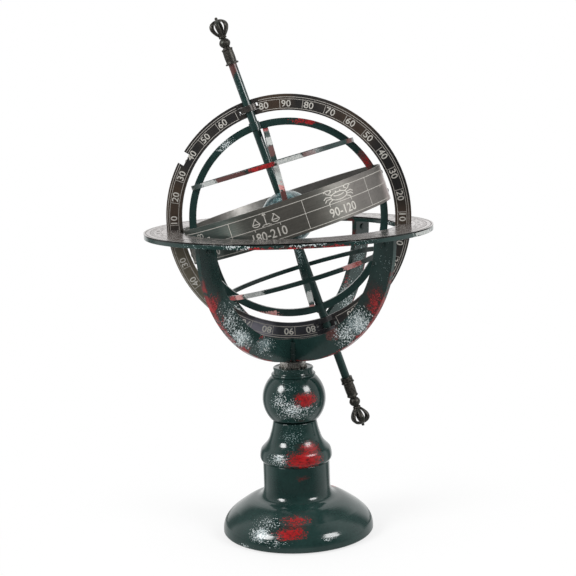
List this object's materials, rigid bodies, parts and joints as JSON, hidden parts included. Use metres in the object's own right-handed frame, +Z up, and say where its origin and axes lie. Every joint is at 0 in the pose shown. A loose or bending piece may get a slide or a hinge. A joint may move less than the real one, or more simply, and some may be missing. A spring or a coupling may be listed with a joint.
{
  "type": "armillary sphere",
  "caption": "Table armillary sphere: graduated meridian ring and pivoting hoops in a horizon ring, on a crescent cradle and turned pedestal.",
  "frame": {"origin": "centre of the underside of the base", "axes": "+Z up along the pedestal, X in the plane of the meridian ring with the upper pole tilted towards -X, -Y the side the graduations face"},
  "size_m": [0.2252, 0.2252, 0.4066],
  "materials": {
    "green_enamel": "gloss enamel, distressed with white and red under-paint",
    "engraved_dark_metal": "satin, blackened and rubbed back, pale engraved print",
    "dial_plate_metal": "satin with fine turned lines",
    "dark_bronze": "rough cast, dark patina",
    "globe_teal": "mottled gloss",
    "zinc_steel": "plated, speckled",
    "fibre_board": "pressed board",
    "felt": "felt"
  },
  "bodies": {
    "stand": {"base_shell": "green_enamel", "base_board": "fibre_board", "felt_pad": "felt", "bell_shell": "green_enamel", "ball_shell": "green_enamel", "neck_cap": "green_enamel", "tie_rod": "dark_bronze", "lower_tie_nut": "zinc_steel", "lower_tie_washer": "zinc_steel", "serrated_washer": "zinc_steel", "clamp_nut": "dark_bronze", "cradle_crescent_front": "green_enamel", "cradle_crescent_rear": "green_enamel", "horizon_ring": "green_enamel", "horizon_dial": "dial_plate_metal", "lug_screws": "green_enamel", "lug_nuts": "dark_bronze"},
    "meridian": {"meridian_ring": "engraved_dark_metal"},
    "sphere": {"polar_rod": "green_enamel", "outer_colure_hoop": "green_enamel", "inner_colure_hoop": "green_enamel", "pole_grub_screws": "zinc_steel", "upper_tropic_ring": "green_enamel", "lower_tropic_ring": "green_enamel", "zodiac_band": "engraved_dark_metal", "band_rivets": "dark_bronze", "central_globe": "globe_teal", "upper_finial_socket": "dark_bronze", "upper_finial_cage": "dark_bronze", "lower_finial_socket": "dark_bronze", "lower_finial_cage": "dark_bronze", "lower_lock_collar": "dark_bronze"}
  },
  "joints": [
    {"name": "latitude_slide", "type": "hinge", "parent": "stand", "child": "meridian", "pos_m": [0, 0, 0.2512], "axis": [0, -1, 0], "range_deg": [-4, 55]},
    {"name": "polar_spin", "type": "hinge", "parent": "meridian", "child": "sphere", "pos_m": [0, 0, 0.2512], "axis": [-0.309, 0, 0.9511], "continuous": true}
  ]
}
